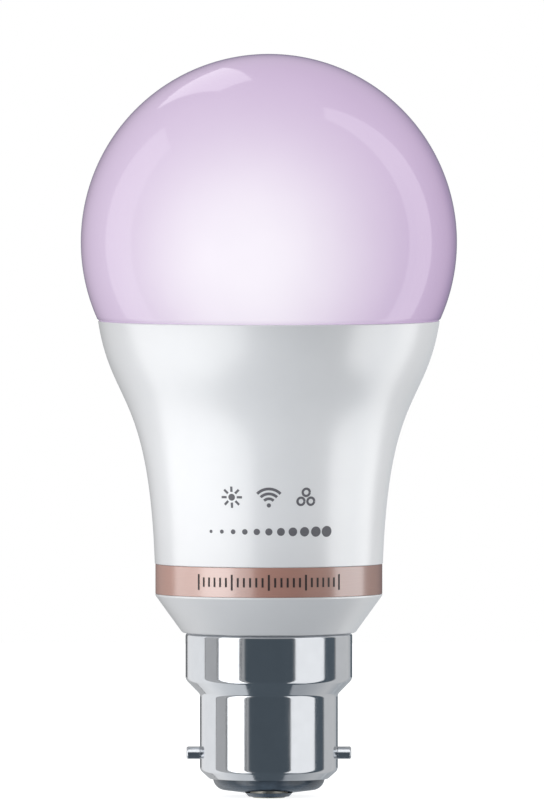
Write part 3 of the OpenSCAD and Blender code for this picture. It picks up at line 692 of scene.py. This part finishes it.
def make_cap(material):
    """The drawn sheet: rolled top, skirt, step, shell and rim, with both sides in one line."""
    roll_r, step_r, cove_r, bend_r, edge_r = (r * MM for r in (0.6, 1.2, 0.9, 1.0, 0.5))
    step_z, cove_z, bend_rise, edge_width = (z * MM for z in (12.2, 9.0, 1.85, 0.3))
    opening = 8.95 * MM
    roll = Vector((skirt_r - roll_r, foot_z - roll_r))
    step = Vector((skirt_r - step_r, step_z))
    cove = Vector((shell_r + cove_r, cove_z))
    bend = Vector((shell_r - bend_r, cap_low + bend_rise))
    edge = Vector((opening + edge_width, cap_low + edge_r))

    def touch(one, two, reach):
        """Direction of the normal of a line that touches the circles about two centres."""
        across = two - one
        return math.degrees(math.atan2(across.y, across.x) + math.acos(reach / across.length))

    step_turn = touch(step, cove, step_r + cove_r)
    rim_turn = touch(bend, edge, bend_r - edge_r)

    def side(inset):
        return (
            arc(roll, roll_r - inset, 90, 0, 12)
            + arc(step, step_r - inset, 0, step_turn, 16)
            + arc(cove, cove_r + inset, step_turn + 180, 180, 12)
            + arc(bend, bend_r - inset, 0, rim_turn, 12)
            + arc(edge, edge_r - inset, rim_turn, -90, 8)
            + [(opening, cap_low + inset)]
        )

    line = side(0) + side(cap_wall)[::-1]
    return place(lathe("cap_shell_turned", line, True), material, "cap_shell")


def make_pins(material):
    """Each pin is a stud with a riveted head inside the shell, turned upright and laid along X."""
    hole_r, stud_r, head_r = 0.8 * MM, 1.0 * MM, 1.2 * MM
    head_low, head_top = shell_r - 0.85 * MM, shell_r - 0.5 * MM
    line = rounded([
        (0, head_low, 0),
        (head_r, head_low, 0.12 * MM),
        (head_r, head_top, 0.05 * MM),
        (hole_r, head_top, 0),
        (hole_r, shell_r, 0),
        (stud_r, shell_r, 0.04 * MM),
        (stud_r, pin_tip, 0.3 * MM),
        (0, pin_tip, 0),
    ])
    made = []
    for name, sign in (("left", -1), ("right", 1)):
        piece = lathe(f"pin_{name}", line, segments=PIN_SEGMENTS)
        for vertex in piece.data.vertices:
            x, y, z = vertex.co
            vertex.co = (sign * z, y, x * -sign)
        piece.data.update()
        made.append(place(piece, material, f"bayonet_pin_{name}"))
    return made


# ---------------------------------------------------------------- studio

FLOOR_HALF = 0.6
FLOOR_GAP = 0.01 * MM


def make_floor():
    """A pale floor just below the lamp, with enough glow to run into the white background. It
    has no part in the lamp's reflections, light or shadows, which come from the studio alone."""
    bm = bmesh.new()
    bmesh.ops.create_grid(bm, x_segments=8, y_segments=8, size=FLOOR_HALF)
    for vertex in bm.verts:
        vertex.co.z = base_z - FLOOR_GAP
    floor = finish_mesh("floor", bm)
    shader = Shader("floor", (0.60, 0.60, 0.60), 0.9)
    shader.vary_color(0.4, 0.004)
    shader.set("Emission Color", (1, 1, 1, 1))
    shader.set("Emission Strength", 0.86)
    floor.data.materials.append(shader.material)
    floor.visible_diffuse = False
    floor.visible_glossy = False
    floor.visible_transmission = False
    floor.visible_shadow = False


# Brightness of the studio's walls by azimuth in degrees, where 0 is the camera's side and the
# left is negative. The ground and the ceiling take over between the heights that follow, which
# are the Z of the direction looked in. The darkest walls and the ground have a slate tint.
WALLS = [
    (-180, 0.13), (-160, 0.20), (-142, 0.40), (-102, 0.46), (-98, 0.30), (-76, 0.28), (-73, 0.40),
    (-42, 0.40), (-40, 0.22), (-38, 0.30), (-37, 0.50), (-35, 0.50), (-33, 0.11), (34, 0.11),
    (37, 0.30), (82, 0.30), (84, 0.13), (103, 0.13), (106, 0.36), (142, 0.32), (156, 0.13),
    (180, 0.13),
]
CEILING = 0.55
GROUND = 0.12
GROUND_ENDS = (-0.95, -0.60)
CEILING_STARTS = (0.08, 0.60)
SLATE = (0.80, 1.0, 1.18)
SLATE_BELOW = 0.2

# Distances of the lamps, and the size of the spots.
BOX_REACH = 1.2
SPOT_REACH = 1.0
SPOT_RADIUS = 8 * MM


class Tree:
    """Short ways to wire up a node tree."""

    def __init__(self, tree):
        self.tree = tree
        tree.nodes.clear()

    def node(self, kind, *links, **settings):
        made = self.tree.nodes.new(kind)
        for key, value in settings.items():
            setattr(made, key, value)
        for socket, value in zip(made.inputs, links):
            if isinstance(value, bpy.types.NodeSocket):
                self.tree.links.new(value, socket)
            elif value is not None:
                socket.default_value = value
        return made

    def math(self, operation, *links):
        return self.node("ShaderNodeMath", *links, operation=operation).outputs[0]

    def step(self, value, low, high):
        """A smooth step from 0 at low to 1 at high."""
        links = (value, low, high, 0.0, 1.0)
        return self.node("ShaderNodeMapRange", *links, interpolation_type="SMOOTHSTEP").outputs[0]

    def blend(self, share, one, two):
        """Colour one where share is 0 and colour two where it is 1. A mix node has its colour
        sockets after those for numbers and vectors."""
        links = (share, None, None, None, None, None, one, two)
        return self.node("ShaderNodeMix", *links, data_type="RGBA").outputs[2]


def make_studio():
    """The walls that the lamp reflects. The camera itself sees plain white behind the lamp."""
    world = bpy.data.worlds.new("studio")
    bpy.context.scene.world = world
    world.use_nodes = True
    tree = Tree(world.node_tree)
    place_in_sky = tree.node("ShaderNodeTexCoord").outputs["Generated"]
    x, y, z = tree.node("ShaderNodeSeparateXYZ", place_in_sky).outputs
    turn = tree.math("ARCTAN2", x, tree.math("MULTIPLY", y, -1.0))
    share = tree.math("ADD", tree.math("DIVIDE", turn, 2 * math.pi), 0.5)
    walls = tree.node("ShaderNodeValToRGB", share)
    while len(walls.color_ramp.elements) < len(WALLS):
        walls.color_ramp.elements.new(0.5)
    for element, (angle, level) in zip(walls.color_ramp.elements, WALLS):
        element.position = (angle + 180) / 360
        tint = SLATE if level < SLATE_BELOW else (1, 1, 1)
        element.color = (*(level * t for t in tint), 1)
    ground = (*(GROUND * t for t in SLATE), 1)
    ceiling = (CEILING, CEILING, CEILING, 1)
    low = tree.blend(tree.step(z, *GROUND_ENDS), ground, walls.outputs["Color"])
    room = tree.blend(tree.step(z, *CEILING_STARTS), low, ceiling)
    seen = tree.node("ShaderNodeLightPath").outputs["Is Camera Ray"]
    lit = tree.node("ShaderNodeBackground", room).outputs[0]
    backdrop = tree.node("ShaderNodeBackground", (1, 1, 1, 1)).outputs[0]
    mixed = tree.node("ShaderNodeMixShader", seen, lit, backdrop).outputs[0]
    tree.node("ShaderNodeOutputWorld", mixed)


def toward(azimuth, elevation):
    """Unit vector at these angles in degrees. Azimuth 0 is the camera's side, -90 the left."""
    a, e = math.radians(azimuth), math.radians(elevation)
    return Vector((math.cos(e) * math.sin(a), -math.cos(e) * math.cos(a), math.sin(e)))


def add_lamp(name, data, location, axes, receivers):
    """Puts up a lamp that lights only its receivers. The camera doesn't see it."""
    lamp = link(name, data)
    turned = Matrix(axes).transposed().to_4x4()
    lamp.matrix_world = Matrix.Translation(location) @ turned
    lamp.visible_camera = False
    lit = bpy.data.collections.new(f"lit_by_{name}")
    for piece in receivers:
        lit.objects.link(piece)
    lamp.light_linking.receiver_collection = lit
    return lamp


def axes_of(back):
    """The three axes of something upright that faces along -back."""
    side = Vector((0, 0, 1)).cross(back).normalized()
    return side, back.cross(side), back


def soft_box(name, receivers, turns, tilts, radiance):
    """An upright soft box that fills these ranges of azimuth and elevation, in degrees, seen
    from AIM. Radiance is its brightness, where white is 1."""
    middle = (turns[0] + turns[1]) / 2
    low, high = (BOX_REACH * math.tan(math.radians(tilt)) for tilt in tilts)
    data = bpy.data.lights.new(name, "AREA")
    data.shape = "RECTANGLE"
    data.size = 2 * BOX_REACH * math.tan(math.radians((turns[1] - turns[0]) / 2))
    data.size_y = high - low
    data.energy = radiance * math.pi * data.size * data.size_y
    back = toward(middle, 0)
    location = AIM + back * BOX_REACH + Vector((0, 0, (low + high) / 2))
    add_lamp(name, data, location, axes_of(back), receivers)


def spot(name, receivers, azimuth, elevation, target, cone, power, tint=(1, 1, 1)):
    """A lamp with a soft-edged cone, in degrees, aimed at target and not seen in reflections.
    Power is in watts."""
    data = bpy.data.lights.new(name, "SPOT")
    data.color = tint
    data.spot_size = math.radians(cone)
    data.spot_blend = 1.0
    data.shadow_soft_size = SPOT_RADIUS
    data.energy = power
    back = toward(azimuth, elevation)
    lamp = add_lamp(name, data, target + back * SPOT_REACH, axes_of(back), receivers)
    lamp.visible_glossy = False


def light_globe(pieces):
    """Soft boxes for the streaks at both sides and the top, and spots for the glow in front."""
    soft_box("globe_left", pieces, (-119, -93), (-45, 45), 0.7)
    soft_box("globe_right", pieces, (95.5, 118.5), (-45, 66), 1.05)
    soft_box("globe_top", pieces, (-170, -146), (34, 60), 1.1)
    front = Vector((0, -globe_r, globe_z))
    spot("globe_fill", pieces, -9, -8, front, 12, 41, (0.90, 1.0, 0.83))
    spot("globe_side", pieces, -50, 0, front, 12, 5)
    below = front - Vector((3 * MM, 0, 3.2 * MM))
    spot("globe_key", pieces, -8, -8, below, 2.6, 38, (0.78, 1.0, 0.66))


def light_housing(housing, band, prints):
    """The band shares side_left and side_fill, and has a soft box of its own at each side."""
    white = [housing, *prints]
    soft_box("side_left", [*white, band], (-111, -16), (-45, 5), 1.34)
    soft_box("side_right", white, (61, 121), (-37, 8), 1.93)
    soft_box("rim_left", [housing], (-176, -120), (-54, 20), 0.12)
    soft_box("rim_right", [housing], (120, 176), (-40, 20), 0.42)
    low = AIM - Vector((0, 0, 9 * MM))
    spot("side_fill", [*white, band], -20, 5, low, 4.0, 15)
    soft_box("band_left", [band], (-72, -36), (-42, 35), 1.15)
    soft_box("band_right", [band], (70, 112), (-42, 35), 1.75)


def light_cap(pieces, base, pins):
    """Soft boxes round the cap, which its metal shows as upright bands, a spot for the dark
    underside, and a soft box for the pins."""
    soft_box("cap_far_left", pieces, (-154, -100), (-74, 30), 0.65)
    soft_box("cap_mid_left", pieces, (-98, -77), (-60, 30), 0.25)
    soft_box("cap_left", pieces, (-73, -42), (-60, 30), 1.9)
    soft_box("cap_right", pieces, (37, 83), (-60, 30), 0.92)
    soft_box("cap_far_right", pieces, (106, 156), (-74, 30), 0.36)
    soft_box("cap_back", pieces, (155, 205), (-60, -6), 0.35)
    spot("base_fill", base, -10, -70, AIM - Vector((0, 0, 62 * MM)), 12, 26, (0.85, 1.0, 1.12))
    soft_box("pin_top", pins, (-40, 40), (8, 60), 1.0)


# ---------------------------------------------------------------- build

make_camera()
materials = slot_materials()
slots = {part["node"]: part["material_slot"] for part in frame["record"]["subparts"]}
for name, node in frame["nodes"].items():
    node.data.materials.clear()
    node.data.materials.append(materials[slots[name]])

globe = make_globe(materials["opal_globe"])
band = make_band(materials["rose_band"])
housing = make_housing(materials["white_housing"])
prints = make_prints(ink("grey_ink", (0.13, 0.13, 0.145)), ink("dark_ink", (0.03, 0.02, 0.02)))
pins = make_pins(materials["nickel_pin"])
base = [frame["nodes"][name] for name in ("cap_insulator", "contact_front", "contact_rear")]
cap_pieces = [make_cap(materials["nickel_cap"]), *pins, *base]
make_floor()
make_studio()
light_globe([globe])
light_housing(housing, band, prints)
light_cap(cap_pieces, base, pins)
bpy.context.scene.view_settings.view_transform = "Standard"
